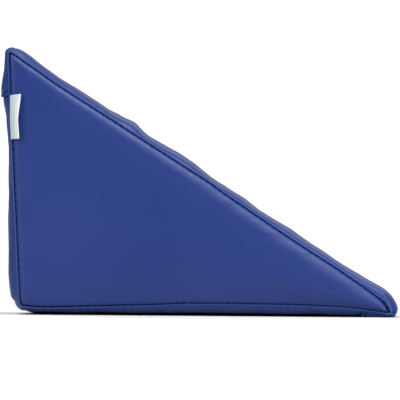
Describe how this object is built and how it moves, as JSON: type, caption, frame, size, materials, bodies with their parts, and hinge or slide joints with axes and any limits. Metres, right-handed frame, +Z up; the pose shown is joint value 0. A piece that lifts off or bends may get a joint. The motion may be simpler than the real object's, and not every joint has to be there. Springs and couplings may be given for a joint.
{
  "type": "wedge cushion",
  "caption": "Foam wedge cushion in a sewn faux-leather cover, a right-angled triangle from the side, for propping or positioning a limb or a person on a flat surface.",
  "frame": {"origin": "middle of the bounding box's base, on the surface that the cushion stands on", "axes": "+X from the tall back towards the toe, +Y away from the side with the label, +Z up"},
  "size_m": [0.2998, 0.25, 0.2012],
  "materials": {
    "cover": "smooth satin faux leather with a very fine grain",
    "label": "tightly woven white ribbon, folded double",
    "thread": "navy twisted polyester sewing thread"
  },
  "bodies": {
    "root": {"cushion": "cover", "label": "label"}
  },
  "joints": []
}
